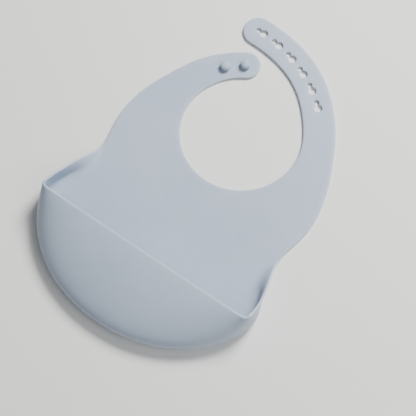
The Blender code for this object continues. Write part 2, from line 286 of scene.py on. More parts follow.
def crossing(travelled: np.ndarray, height: np.ndarray) -> float:
    """Where along a line its height over a cut first turns from below to above.

    Args:
        travelled: The distance at each point.
        height: How far each point lies past the cut.

    Returns:
        The distance at the crossing.
    """
    for i in range(len(height) - 1):
        if height[i] < 0.0 <= height[i + 1]:
            share = height[i] / (height[i] - height[i + 1])
            return float(travelled[i] + share * (travelled[i + 1] - travelled[i]))
    raise ValueError("the edge never crosses the cut")


def straight(start: np.ndarray, end: np.ndarray, spacing: float) -> np.ndarray:
    """Points between two ends, at equal steps, with both ends left out."""
    return evenly(np.array([start, end]), spacing)[1:-1]


def inside(points: np.ndarray, loop: np.ndarray) -> np.ndarray:
    """Which points lie inside a closed loop.

    Args:
        points: The points to test.
        loop: The loop's corners in order.

    Returns:
        One truth value per point.
    """
    found = np.zeros(len(points), bool)
    for (x1, y1), (x2, y2) in zip(loop, np.roll(loop, -1, axis=0)):
        spans = (y1 > points[:, 1]) != (y2 > points[:, 1])
        if y1 != y2:
            left = points[:, 0] < x1 + (points[:, 1] - y1) * (x2 - x1) / (y2 - y1)
            found ^= spans & left
    return found


def turns_left(loop: np.ndarray) -> bool:
    """Whether a closed loop runs counter-clockwise."""
    after = np.roll(loop, -1, axis=0)
    return bool((loop[:, 0] * after[:, 1] - after[:, 0] * loop[:, 1]).sum() > 0.0)


# --- The growing wall ----------------------------------------------------------


def lift(plan: np.ndarray) -> np.ndarray:
    """How far the soft sheet rides up off the table, as a function of its place in plan.

    Args:
        plan: One row of X and Y per point.

    Returns:
        The height at each point, never below zero.
    """
    x, y = plan[:, 0], plan[:, 1]
    waves = np.sin(x / 31.0 + 0.6) * np.sin(y / 37.0 + 1.1) + 0.6 * np.sin((x + 1.7 * y) / 43.0)
    return LIFT * (1.6 + waves) / 3.2


class Skin:
    """The middle surface of a wall, which grows to a closed wall with rounded edges."""

    clear_of_edges = 0.6

    def __init__(self) -> None:
        """Starts with no points."""
        self.middle: list[np.ndarray] = []
        self.normal: list[np.ndarray] = []
        self.faces: list[tuple[int, ...]] = []
        self.rims: list[tuple[list[int], np.ndarray, Section, bool]] = []
        self.cuts: list[list[int]] = []

    def add(self, points: np.ndarray, normals: np.ndarray | None = None) -> list[int]:
        """Adds points of the middle surface.

        Args:
            points: Plan points, which lie at half the sheet's thickness, or points in space.
            normals: The upward direction at each, or None where the sheet is flat.

        Returns:
            The numbers of the new points.
        """
        if points.shape[1] == 2:
            points = np.column_stack([points, np.full(len(points), HALF)])
        if normals is None:
            normals = np.tile([0.0, 0.0, 1.0], (len(points), 1))
        first = len(self.middle)
        self.middle.extend(points)
        self.normal.extend(normals)
        return list(range(first, first + len(points)))

    def rim(
        self, numbers: list[int], outward: np.ndarray, section: Section, closed: bool = False
    ) -> None:
        """Says that a run of points is a free edge.

        Args:
            numbers: The points in order.
            outward: The direction out of the material at each, in plan or in space.
            section: The cross-section of the edge.
            closed: Whether the run is a whole loop.
        """
        if outward.shape[1] == 2:
            outward = np.column_stack([outward, np.zeros(len(outward))])
        self.rims.append((numbers, outward, section, closed))

    def fill(self, outline: list[int], holes: list[list[int]], spacing: float) -> None:
        """Fills a flat area with small even triangles, up to its outline and its holes.

        Args:
            outline: The points round it, in order.
            holes: The points round each hole.
            spacing: The size of the triangles.
        """
        loops = [np.array([self.middle[i][:2] for i in loop]) for loop in [outline, *holes]]
        rows = np.vstack(loops)
        low, high = rows.min(axis=0), rows.max(axis=0)
        row_step = spacing * math.sqrt(0.75)
        grid = np.array([
            (x + (j % 2) * spacing / 2, y)
            for j, y in enumerate(np.arange(low[1], high[1], row_step))
            for x in np.arange(low[0], high[0], spacing)
        ])
        keep = inside(grid, loops[0])
        for hole in loops[1:]:
            keep &= ~inside(grid, hole)
        grid = grid[keep]
        nearest = np.full(len(grid), np.inf)
        for point in rows:
            nearest = np.minimum(nearest, np.linalg.norm(grid - point, axis=1))
        grid = grid[nearest > self.clear_of_edges * spacing]
        numbers = [i for loop in [outline, *holes] for i in loop] + self.add(grid)
        corners = [Vector(point) for point in np.vstack([rows, grid])]
        edges, outside, first = [], set(), 0
        for k, loop in enumerate(loops):
            count = len(loop)
            around = [(first + i, first + (i + 1) % count) for i in range(count)]
            edges += around
            outside.update(around if turns_left(loop) == (k > 0) else [e[::-1] for e in around])
            first += count
        made = delaunay_2d_cdt(corners, edges, [], 0, 1e-6)
        places, triangles, sources = made[0], made[2], made[3]
        if len(places) != len(corners):
            raise ValueError("two edges cross")
        flat = np.array([tuple(place) for place in places])
        middles = np.array([flat[list(triangle)].mean(axis=0) for triangle in triangles])
        wanted = inside(middles, loops[0])
        for hole in loops[1:]:
            wanted &= ~inside(middles, hole)
        for triangle, used in zip(triangles, wanted):
            corner = [sources[i][0] for i in triangle]
            if used and not outside.intersection(zip(corner, corner[1:] + corner[:1])):
                self.faces.append(tuple(numbers[i] for i in corner))

    def grow(self, name: str) -> bpy.types.Object:
        """Thickens the surface and closes it at its edges and cuts.

        Args:
            name: The piece's name.

        Returns:
            The piece, placed in the bib's frame.
        """
        middle, normal = np.array(self.middle), np.array(self.normal)
        count = len(middle)
        points = [middle + HALF * normal, middle - HALF * normal]
        edge_share = [np.zeros(2 * count)]
        faces = list(self.faces)
        faces += [tuple(count + i for i in reversed(face)) for face in self.faces]
        total = 2 * count
        columns: dict[int, list[int]] = {}
        for numbers, outward, section, closed in self.rims:
            steps = section.steps()
            columns_here = []
            for k, number in enumerate(numbers):
                at, out_here, up_here = middle[number], outward[k], normal[number]
                ring = [at + out * out_here + up * up_here for out, up in steps]
                points.append(np.array(ring))
                column = [number, *range(total, total + len(ring)), count + number]
                total += len(ring)
                edge_share.append(np.ones(len(ring)))
                edge_share[0][[number, count + number]] = BESIDE_EDGE
                columns[number] = column
                columns_here.append(column)
            pairs = zip(columns_here, columns_here[1:] + columns_here[:1])
            for k, (here, there) in enumerate(pairs):
                if k == len(columns_here) - 1 and not closed:
                    break
                for i in range(len(here) - 1):
                    faces.append((here[i], there[i], there[i + 1], here[i + 1]))
        for numbers in self.cuts:
            for here, there in zip(numbers[:-1], numbers[1:]):
                faces.append((here, there, count + there, count + here))
            for end in (numbers[0], numbers[-1]):
                if end in columns:
                    faces.append(tuple(columns[end]))
        places = np.vstack(points)
        places[:, 2] += lift(places[:, :2])
        return finished_mesh(name, places, faces, np.concatenate(edge_share))


def finished_mesh(
    name: str, places: np.ndarray, faces: list[tuple[int, ...]], edge_share: np.ndarray
) -> bpy.types.Object:
    """Turns points and faces into a smooth piece in the bib's frame.

    Args:
        name: The piece's name.
        places: Millimetres from the neck hole's centre.
        faces: The faces as point numbers.
        edge_share: How much of an edge each point is, for the finish.

    Returns:
        The piece.
    """
    world = (places + np.array([0.0, NECK_ABOVE_ORIGIN, 0.0])) * MM
    mesh = bpy.data.meshes.new(name)
    mesh.from_pydata(world.tolist(), [], faces)
    mesh.update()
    rest = mesh.attributes.new(REST, "FLOAT_VECTOR", "POINT")
    rest.data.foreach_set("vector", world.astype(np.float32).ravel())
    edge = mesh.attributes.new(EDGE, "FLOAT", "POINT")
    edge.data.foreach_set("value", edge_share.astype(np.float32))
    work = bmesh.new()
    work.from_mesh(mesh)
    bmesh.ops.recalc_face_normals(work, faces=work.faces)
    work.to_mesh(mesh)
    work.free()
    mesh.shade_smooth()
    mesh.set_sharp_from_angle(angle=math.radians(SHARP_FROM))
    piece = bpy.data.objects.new(name, mesh)
    bpy.context.scene.collection.objects.link(piece)
    return piece


# --- The bib's pieces ------------------------------------------------------------


@dataclass(frozen=True)
class Strap:
    """The lines of one strap, drawn as if it were on the positive side of the bib.

    Args:
        side: The side that it belongs to.
        outer: Bezier segments of its outer edge above the shoulder.
        inner: Bezier segments of its inner edge, from where that leaves the neck hole's circle.
        leaves_neck_at: The angle at which it does.
        tip: The centre of its round end.
        tip_radius: The radius of that end.
        tip_turn: The angles at which the round end starts and stops.
    """

    side: Side
    outer: tuple[Segment, ...]
    inner: tuple[Segment, ...]
    leaves_neck_at: float
    tip: Point
    tip_radius: float
    tip_turn: tuple[float, float]


@dataclass(frozen=True)
class Pattern:
    """The bib's plan, shared by all its pieces.

    Args:
        neck_radius: The radius of the neck hole.
        shoulder: Bezier segments of the edge from the waist up to the straps.
        fold_y: The height of the fold between the chest and the yoke.
        root_angle: The angle of the lines at which the straps leave the yoke.
        spacing: The distance between points along an edge.
        fill: The size of the triangles on the flat.
    """

    neck_radius: float = 51.2
    shoulder: tuple[Segment, ...] = (
        ((89.2, -66.5), (90.8, -57.0), (93.5, -49.8), (93.5, -37.0)),
        ((93.5, -37.0), (93.5, -13.6), (82.9, 10.1), (72.2, 31.1)),
    )
    fold_y: float = -62.0
    root_angle: float = 8.0
    spacing: float = 1.4
    fill: float = 2.6

    def fold(self) -> Cut:
        """The fold below the neck."""
        return Cut((0.0, self.fold_y), (0.0, 1.0))

    def root(self) -> Cut:
        """The line where a strap leaves the yoke, on the positive side."""
        across = direction(self.root_angle)
        return Cut((0.0, 0.0), (-across[1], across[0]))

    def outer_edge(self, strap: Strap) -> Edge:
        """The outer edge on one side, from the waist to the strap's round end."""
        line = join(*[bezier(segment, CURVE_STEPS) for segment in (*self.shoulder, *strap.outer)])
        return Edge.inside(line, material_on_left=True)

    def inner_edge(self, strap: Strap) -> Edge:
        """The inner edge on one side, from the middle of the neck hole to the round end."""
        neck = arc((0.0, 0.0), self.neck_radius, -90.0, strap.leaves_neck_at)
        line = join(neck, *[bezier(segment, CURVE_STEPS) for segment in strap.inner])
        return Edge.inside(line, material_on_left=False)


STUD_STRAP = Strap(
    side=Side.STUDS,
    outer=(((72.2, 31.1), (64.6, 44.6), (53.0, 55.3), (40.1, 64.2)),),
    inner=(),
    leaves_neck_at=59.2,
    tip=(32.5, 54.5),
    tip_radius=12.3,
    tip_turn=(52.0, 239.2),
)
KEYHOLE_STRAP = Strap(
    side=Side.KEYHOLES,
    outer=(
        ((72.2, 31.1), (61.8, 51.4), (46.2, 70.1), (27.0, 82.7)),
        ((27.0, 82.7), (6.7, 96.0), (-18.0, 100.5), (-41.9, 100.5)),
    ),
    inner=(
        ((45.2, 24.0), (39.6, 34.6), (29.4, 47.2), (18.9, 55.6)),
        ((18.9, 55.6), (1.5, 69.6), (-20.3, 74.1), (-41.9, 74.1)),
    ),
    leaves_neck_at=28.0,
    tip=(-41.9, 87.3),
    tip_radius=13.2,
    tip_turn=(90.0, 270.0),
)


def to_side(points: np.ndarray, side: Side) -> np.ndarray:
    """Points drawn on the positive side, moved to the side asked for."""
    return points * np.array([side.value, 1.0])


@dataclass(frozen=True)
class Bend:
    """The bend that a piece would take between the two parts that it joins.

    Args:
        before: The part that its start would move with; not used.
        after: The part that its end would move with; not used.
        cut: The line at which the bend would start; not used.
        length: How far past the line the bend would end; not used.
    """

    before: str
    after: str
    cut: Cut
    length: float

    def apply(self, piece: bpy.types.Object) -> None:
        """Bakes a finished piece's placement into its mesh."""
        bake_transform(piece)


@dataclass
class Straps:
    """The yoke round the neck hole and the stretches of the two straps.

    Args:
        pattern: The bib's plan.
        stud_line: The angle of the line across the stud strap where its end flexes.
        keyhole_centre: The centre of the arc on which the keyholes lie.
        keyhole_radius: The radius of that arc.
        first_keyhole: The angle of the first keyhole from straight up.
        pitch: The distance from one keyhole to the next.
        keyholes: How many keyholes there are.
        wide: The radius of a keyhole's wide end.
        snug: The radius of its snug end.
        centres: The distance between the centres of its ends.
        throat: Half the width between its ends.
        yoke_bend: The length given for the yoke's bend.
        yoke_fill: The size of the yoke's triangles.
    """

    pattern: Pattern = field(default_factory=Pattern)
    stud_line: float = 24.0
    keyhole_centre: Point = (-41.9, -31.3)
    keyhole_radius: float = 119.3
    first_keyhole: float = 1.6
    pitch: float = 17.0
    keyholes: int = 6
    wide: float = 3.45
    snug: float = 2.3
    centres: float = 5.7
    throat: float = 1.25
    yoke_bend: float = 40.0
    yoke_fill: float = 3.2

    def keyhole_turn(self, station: float) -> float:
        """The angle of a place on the keyholes' arc, counted in keyholes from the tip."""
        return self.first_keyhole + math.degrees(self.pitch / self.keyhole_radius) * station

    def keyhole_line(self, station: float) -> Cut:
        """The line across the keyhole strap at a place on the keyholes' arc."""
        outward = direction(90.0 - self.keyhole_turn(station))
        through = np.array(self.keyhole_centre) + self.keyhole_radius * outward
        return Cut(tuple(through), (-outward[1], outward[0]))

    def keyhole(self, station: float) -> Edge:
        """The edge of one keyhole, its wide end nearer the strap's root.

        Args:
            station: Which keyhole, counted from the tip.

        Returns:
            The closed loop a little inside the material, and the directions into the hole.
        """
        line = self.keyhole_line(station)
        ahead = np.array(line.onward)
        wide_centre = np.array(line.through) - ahead * self.centres / 3
        snug_centre = wide_centre + ahead * self.centres
        heading = math.degrees(math.atan2(ahead[1], ahead[0]))
        wide = math.degrees(math.asin(self.throat / self.wide))
        snug = math.degrees(math.asin(self.throat / self.snug))
        loop = np.vstack([
            arc(tuple(wide_centre), self.wide, heading + wide, heading + 360.0 - wide, 0.7),
            arc(
                tuple(snug_centre), self.snug,
                heading - 180.0 + snug, heading + 180.0 - snug, 0.6,
            ),
        ])
        for _ in range(2):
            loop = (np.roll(loop, 1, axis=0) + 2 * loop + np.roll(loop, -1, axis=0)) / 4
        ahead = unit(np.roll(loop, -1, axis=0) - np.roll(loop, 1, axis=0))
        into_hole = np.column_stack([-ahead[:, 1], ahead[:, 0]])
        return Edge(loop - EASED_RADIUS * into_hole, into_hole)

    def round_end(self, strap: Strap) -> Edge:
        """The edge of a strap's round end."""
        line = arc(strap.tip, strap.tip_radius, *strap.tip_turn)
        return Edge.inside(line, material_on_left=True)

    def stretch(
        self, name: str, strap: Strap, first: Cut, second: Cut | None, stations: range
    ) -> bpy.types.Object:
        """One stretch of a strap.

        Args:
            name: The piece's name.
            strap: The strap that it is part of.
            first: The line at which it starts.
            second: The line at which it ends, or None for the round end.
            stations: The keyholes in it.

        Returns:
            The piece.
        """
        spacing = self.pattern.spacing
        outer = self.pattern.outer_edge(strap).between(first, second, spacing)
        inner = self.pattern.inner_edge(strap).between(first, second, spacing).reversed()
        skin = Skin()
        if second is None:
            tip = self.round_end(strap).between(None, None, 1.0)
            points = join(outer.points, tip.points, inner.points)
            outward = join(outer.outward, tip.outward, inner.outward)
            rim = skin.add(to_side(points, strap.side))
            skin.rim(rim, to_side(outward, strap.side), Section.ROUND)
            loop = list(rim)
        else:
            rim = skin.add(to_side(outer.points, strap.side))
            skin.rim(rim, to_side(outer.outward, strap.side), Section.ROUND)
            across = straight(outer.points[-1], inner.points[0], CUT_SPACING)
            far = skin.add(to_side(across, strap.side))
            back = skin.add(to_side(inner.points, strap.side))
            skin.rim(back, to_side(inner.outward, strap.side), Section.ROUND)
            skin.cuts.append([rim[-1], *far, back[0]])
            loop = [*rim, *far, *back]
        across = straight(inner.points[-1], outer.points[0], CUT_SPACING)
        near = skin.add(to_side(across, strap.side))
        skin.cuts.append([loop[-1], *near, loop[0]])
        loop += near
        holes = []
        for station in stations:
            edge = self.keyhole(station)
            hole = skin.add(to_side(edge.points, strap.side))
            skin.rim(hole, to_side(edge.outward, strap.side), Section.EASED, closed=True)
            holes.append(hole)
        skin.fill(loop, holes, self.pattern.fill)
        return skin.grow(name)

    def yoke(self) -> bpy.types.Object:
        """The sheet round the lower half of the neck hole, with both shoulders.

        Returns:
            The piece.
        """
        pattern, spacing = self.pattern, self.pattern.spacing
        outer = pattern.outer_edge(KEYHOLE_STRAP).between(pattern.fold(), pattern.root(), spacing)
        inner = pattern.inner_edge(KEYHOLE_STRAP).between(None, pattern.root(), spacing)
        skin = Skin()
        right = skin.add(outer.points)
        skin.rim(right, outer.outward, Section.ROUND)
        shoulder = straight(outer.points[-1], inner.points[-1], CUT_SPACING)
        across = skin.add(shoulder)
        neck = Edge(
            join(inner.points[::-1], inner.mirrored().points),
            join(inner.outward[::-1], inner.mirrored().outward),
        )
        hole = skin.add(neck.points)
        skin.rim(hole, neck.outward, Section.ROUND)
        back = skin.add(to_side(shoulder[::-1], Side.STUDS))
        left = outer.mirrored().reversed()
        down = skin.add(left.points)
        skin.rim(down, left.outward, Section.ROUND)
        fold = skin.add(straight(left.points[-1], outer.points[0], CUT_SPACING))
        skin.cuts.append([right[-1], *across, hole[0]])
        skin.cuts.append([hole[-1], *back, down[0]])
        skin.cuts.append([down[-1], *fold, right[0]])
        skin.fill([*right, *across, *hole, *back, *down, *fold], [], self.yoke_fill)
        return skin.grow("yoke_sheet")

    def build(self) -> list[bpy.types.Object]:
        """Builds the yoke and both straps.

        Returns:
            The pieces.
        """
        root = self.pattern.root()
        across = direction(self.stud_line)
        stud_line = Cut((0.0, 0.0), (-across[1], across[0]))
        half = self.keyholes // 2
        middle = self.keyhole_line(self.keyholes - 0.5)
        end = self.keyhole_line(half - 0.5)
        none = range(0)
        # Each row: name, strap, first and second line, keyholes, the parts before and
        # after the bend, and the length of the bend.
        stretches = [
            (
                "stud_strap_root_sheet", STUD_STRAP, root, stud_line, none,
                "yoke", "stud_strap_root", 14.0,
            ),
            (
                "stud_strap_end_sheet", STUD_STRAP, stud_line, None, none,
                "stud_strap_root", "stud_strap_end", 15.0,
            ),
            (
                "keyhole_strap_root_sheet", KEYHOLE_STRAP, root, middle, none,
                "yoke", "hole_strap_root", 30.0,
            ),
            (
                "keyhole_strap_middle_sheet", KEYHOLE_STRAP, middle, end,
                range(half, self.keyholes), "hole_strap_root", "hole_strap_middle", 38.0,
            ),
            (
                "keyhole_strap_end_sheet", KEYHOLE_STRAP, end, None, range(half),
                "hole_strap_middle", "hole_strap_end", 38.0,
            ),
        ]
        pieces = [self.yoke()]
        Bend("chest", "yoke", self.pattern.fold(), self.yoke_bend).apply(pieces[0])
        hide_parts("yoke")
        for name, strap, first, second, stations, before, after, length in stretches:
            piece = self.stretch(name, strap, first, second, stations)
            cut = first.mirrored() if strap.side is Side.STUDS else first
            Bend(before, after, cut, length).apply(piece)
            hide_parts(after)
            pieces.append(piece)
        return pieces


@dataclass
class Studs:
    """The two mushroom studs on the short strap.

    Args:
        places: Their centres in plan and the names of the parts that they stand for.
        foot: The radius of the flared foot.
        stem: The radius of the stem.
        head: The radius of the head.
        height: How far the head's top stands over the strap.
        sunk: How far the foot reaches into the strap.
        corners: How many corners a turn has.
    """

    places: tuple[tuple[str, Point], ...] = (
        ("inner_stud", (-45.6, 42.6)),
        ("outer_stud", (-32.5, 53.4)),
    )
    foot: float = 3.5
    stem: float = 2.35
    head: float = 4.4
    height: float = 5.6
    sunk: float = 0.35
    corners: int = 56

    def profile(self) -> np.ndarray:
        """The half outline of a stud, as radius and height over the strap's top face.

        Returns:
            The outline from the middle of the foot up to the middle of the head.
        """
        foot, stem, head, top = self.foot, self.stem, self.head, self.height
        under = (head - 0.25, 2.15)
        flare = bezier(((foot, -self.sunk), (2.7, 0.1), (stem, 0.6), (stem, 1.2)), 8)
        neck = bezier(((stem, 1.2), (stem, 2.0), (3.3, 1.9), under), 8)
        lip = bezier((under, (head, 2.2), (head, 2.5), (head, 2.8)), 5)
        dome = bezier(((head, 2.8), (head, 4.7), (2.6, top), (0.0, top)), 14)
        return join(np.array([(0.0, -self.sunk), (foot, -self.sunk)]), flare, neck, lip, dome)

    def build(self) -> list[bpy.types.Object]:
        """Turns both studs and sets them on the end of the strap.

        Returns:
            The pieces.
        """
        pieces = []
        outline = self.profile()
        turns = np.linspace(0.0, math.tau, self.corners, endpoint=False)
        for node, (x, y) in self.places:
            raised = SHEET + lift(np.array([(x, y)]))[0]
            points = [(x, y, raised + outline[0][1])]
            for out, up in outline[1:-1]:
                ring = [(x + out * math.cos(a), y + out * math.sin(a), raised + up) for a in turns]
                points += ring
            points.append((x, y, raised + outline[-1][1]))
            count, rings = self.corners, len(outline) - 2
            faces: list[tuple[int, ...]] = []
            for k in range(count):
                nxt = (k + 1) % count
                faces.append((0, 1 + nxt, 1 + k))
                for ring in range(rings - 1):
                    low, high = 1 + ring * count, 1 + (ring + 1) * count
                    faces.append((low + k, low + nxt, high + nxt, high + k))
                top = 1 + (rings - 1) * count
                faces.append((top + k, top + nxt, len(points) - 1))
            edge_share = np.zeros(len(points))
            piece = finished_mesh(node + "_turned", np.array(points), faces, edge_share)
            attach(piece, "stud_strap_end")
            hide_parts(node)
            pieces.append(piece)
        return pieces


@dataclass
class Pocket:
    """The chest panel and the catch pocket, whose wall runs from the waists round to the front.

    Args:
        pattern: The bib's plan.
        bottom: The widest outline from the front corner to the middle of the front.
        rim_side: The rim from the waist up to the front corner, in space.
        rim_eases: The share of that stretch over which the rim leaves the flat.
        lean_at_waist: How far the side wall leans out there, per unit of its height.
        lean_lasts: Above 1, the lean at the waist carries on further along the side.
        lean_at_corner: The same at the front corner, where it bulges past the rim.
        rim_y: Where the level front rim lies.
        rim_height: How high it is.
        corner: The centre of the rim's front corner.
        corner_radius: The radius of that corner.
        corner_height: The height at which it starts.
        corner_straight: The share of the corner's stretch before the arc.
        corner_end: The share of the lower outline that the corner takes.
        widest_share: How high up the wall its foot ends.
        widest_at_waist: The same at the waist, where the wall is a shallow dish.
        foot_at_waist: The width of the rounded foot at the waist.
        foot_at_corner: The width of the rounded foot at the front.
        rise: How far the wall rises straight before it leans over.
        reach: How far back the lean of the wall reaches.
        crown: How much the wall bulges below the rim.
        stations_side: How many ribs the side has.
        stations_corner: How many ribs the corner has.
        stations_front: How many ribs half the front has.
        steps: How many faces a rib has.
        curve_steps: How finely each half of a rib is worked out.
        first_mark: Where the first rib stands, just past the waist itself.
        fill: The size of the panel's triangles.
        hinge_y: Not used; the foot of the front, at which it would bend, in the bib's frame in
            metres.
        bend_heights: Not used; how high the bend would start and end, in metres.
    """

    pattern: Pattern = field(default_factory=Pattern)
    bottom: Segment = ((102.2, -130.0), (102.2, -155.1), (67.5, -201.9), (0.0, -201.9))
    rim_side: Segment = (
        (89.2, -66.5, 0.0), (85.6, -88.1, 12.1), (99.9, -96.7, 4.6), (99.9, -130.0, 26.2)
    )
    rim_eases: float = 0.65
    lean_at_waist: float = 1.6
    lean_lasts: float = 1.3
    lean_at_corner: float = -0.126
    rim_y: float = -138.6
    rim_height: float = 30.0
    corner: Point = (95.9, -134.6)
    corner_radius: float = 4.0
    corner_height: float = 29.0
    corner_straight: float = 0.4
    corner_end: float = 0.2
    widest_share: float = 0.3
    widest_at_waist: float = 0.6
    foot_at_waist: float = 7.0
    foot_at_corner: float = 15.0
    rise: float = 0.4
    reach: float = 0.45
    crown: float = 0.12
    stations_side: int = 34
    stations_corner: int = 26
    stations_front: int = 52
    steps: int = 38
    curve_steps: int = 90
    first_mark: float = 0.002
    fill: float = 3.4
    hinge_y: float = -0.1009
    bend_heights: tuple[float, float] = (0.004, 0.026)

    def rim_corner(self, share: float) -> np.ndarray:
        """A point of the rim between the side's end and the start of the level front."""
        side_end = np.array(self.rim_side[3])
        start = np.array([self.corner[0] + self.corner_radius, self.corner[1], self.corner_height])
        if share < self.corner_straight:
            return side_end + (start - side_end) * share / self.corner_straight
        turn = (share - self.corner_straight) / (1.0 - self.corner_straight)
        plan = np.array(self.corner) + self.corner_radius * direction(-90.0 * turn)
        return np.append(plan, self.corner_height + (self.rim_height - self.corner_height) * turn)

    def lean(self, place: float) -> float:
        """How far the side wall leans out at a place, per unit of its height."""
        if place > 1.0:
            return 0.0
        turn = eased(place**self.lean_lasts)
        return self.lean_at_waist + (self.lean_at_corner - self.lean_at_waist) * turn

    def flare(self, place: float) -> float:
        """The same, never inward, as a share of the lean at the waist."""
        return max(self.lean(place), 0.0) / self.lean_at_waist

    def widest(self, place: float) -> float:
        """How high up the wall its foot ends at a place, as a share of its height."""
        return self.widest_share + (self.widest_at_waist - self.widest_share) * self.flare(place)

    def side_rim(self, place: float) -> np.ndarray:
        """The rim along the side, which leaves the flat smoothly at the waist."""
        rim = bezier_at(self.rim_side, place)
        rim[2] *= eased(min(1.0, place / self.rim_eases))
        return rim

    def station(self, place: float) -> tuple[np.ndarray, np.ndarray, np.ndarray]:
        """Where the wall stands at a place round one half of the pocket.

        Args:
            place: From 0 at the waist, past 1 at the pocket's top, to 2 at its middle.

        Returns:
            The hip, where the foot ends and the wall begins, its outward direction,
            and the rim point.
        """
        if place <= 1.0:
            rim = self.side_rim(place)
            ahead = (self.side_rim(place + NEARBY) - self.side_rim(place - NEARBY))[:2]
            outward = unit(np.array([-ahead[1], ahead[0]]))
            above = (1.0 - self.widest(place)) * rim[2]
            return rim[:2] - outward * self.lean(place) * above, outward, rim
        t = place - 1.0
        share = bezier_at(self.bottom, t)[0] / bezier_at(self.bottom, self.corner_end)[0]
        rim = np.array([self.corner[0] * share, self.rim_y, self.rim_height])
        if t < self.corner_end:
            rim = self.rim_corner(t / self.corner_end)
        ahead = bezier_at(self.bottom, t + NEARBY) - bezier_at(self.bottom, t - NEARBY)
        return bezier_at(self.bottom, t), unit(np.array([-ahead[1], ahead[0]])), rim

    def rib(self, place: float) -> tuple[np.ndarray, np.ndarray]:
        """The outer surface from the flat back up to the rim.

        Args:
            place: Where it stands round one half.

        Returns:
            Its points and its headings, at equal steps.
        """
        hip, outward, rim = self.station(place)
        high = rim[2] / self.rim_height
        foot = self.foot_at_waist + (self.foot_at_corner - self.foot_at_waist) * high
        level = self.widest(place) * rim[2]
        flare = self.flare(place)
        flat = np.append(outward, 0.0)
        up = np.append(outward * flare * self.lean_at_waist, 1.0)
        edge = np.append(hip, level)
        start = np.append(hip - outward * foot, 0.0)
        low = (start, start + QUARTER * foot * flat, edge - QUARTER * level * up, edge)
        crown = self.crown + (self.reach - self.crown) * flare
        over = rim + (edge - rim) * self.reach
        over[2] = rim[2] - crown * (rim[2] - level)
        high_part = (edge, edge + self.rise * (rim[2] - level) * up, over, rim)
        line = join(bezier(low, self.curve_steps), bezier(high_part, self.curve_steps))
        travelled = along(line)
        keep = np.concatenate([[True], np.diff(travelled) > 1e-9])
        line, travelled = line[keep], travelled[keep]
        heading = unit(np.gradient(line, travelled, axis=0))
        wanted = np.linspace(0.0, travelled[-1] - HALF, self.steps + 1)
        headings = np.column_stack([np.interp(wanted, travelled, v) for v in heading.T])
        return at_steps(line, wanted), unit(headings)

    def build(self) -> list[bpy.types.Object]:
        """Builds the panel with its pocket.

        Returns:
            The piece.
        """
        marks = join(
            np.linspace(0.0, 1.0, self.stations_side + 1)[:, None],
            np.linspace(1.0, 1.0 + self.corner_end, self.stations_corner + 1)[:, None],
            np.linspace(1.0 + self.corner_end, 2.0, self.stations_front + 1)[:, None],
        )[:, 0]
        marks[0] = self.first_mark
        ribs = [self.rib(float(mark)) for mark in marks]
        surface = np.array([points for points, _ in ribs])
        heading = np.array([headings for _, headings in ribs])
        surface[-1, :, 0] = 0.0
        flip = np.array([-1.0, 1.0, 1.0])
        surface = np.concatenate([surface, surface[-2::-1] * flip])
        heading = np.concatenate([heading, heading[-2::-1] * flip])
        travelled = along(surface[:, 0])
        travelled += np.arange(len(travelled)) * 1e-6
        tangent = unit(np.gradient(surface, travelled, axis=0))
        inward = unit(np.cross(tangent, heading))
        middle = surface + HALF * inward
        count, steps = middle.shape[:2]
        skin = Skin()
        numbers = skin.add(middle.reshape(-1, 3), inward.reshape(-1, 3))
        grid = np.array(numbers).reshape(count, steps)
        for i in range(count - 1):
            for j in range(steps - 1):
                skin.faces.append((grid[i, j], grid[i + 1, j], grid[i + 1, j + 1], grid[i, j + 1]))
        rim_line = middle[:, -1]
        rim_ahead = unit(np.gradient(rim_line, along(rim_line), axis=0))
        outward = unit(np.cross(rim_ahead, inward[:, -1]))
        outward *= np.sign((outward * heading[:, -1]).sum(axis=1))[:, None]
        fold, spacing = self.pattern.fold(), self.pattern.spacing
        stub = self.pattern.outer_edge(KEYHOLE_STRAP).between(None, fold, spacing)
        right = skin.add(stub.points[:0:-1])
        left = skin.add(stub.mirrored().points[1:])
        stub_outward = np.column_stack([stub.outward, np.zeros(len(stub.outward))])
        skin.rim(
            [*right, *grid[:, -1].tolist(), *left],
            np.vstack([stub_outward[:0:-1], outward, stub_outward[1:] * flip]),
            Section.ROUND,
        )
        top = skin.add(straight(stub.mirrored().points[-1], stub.points[-1], CUT_SPACING))
        skin.cuts.append([left[-1], *top, right[0]])
        pocket_edge = np.concatenate([grid[0, ::-1], grid[1:-1, 0], grid[-1]]).tolist()
        skin.fill([*right, *pocket_edge, *left, *top], [], self.fill)
        piece = skin.grow("chest_and_pocket")
        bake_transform(piece)
        walls = ("left_side_wall", "right_side_wall")
        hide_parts("chest_panel", *walls, "pocket_base", "pocket_front")
        return [piece]


# --- Finishes ----------------------------------------------------------------------


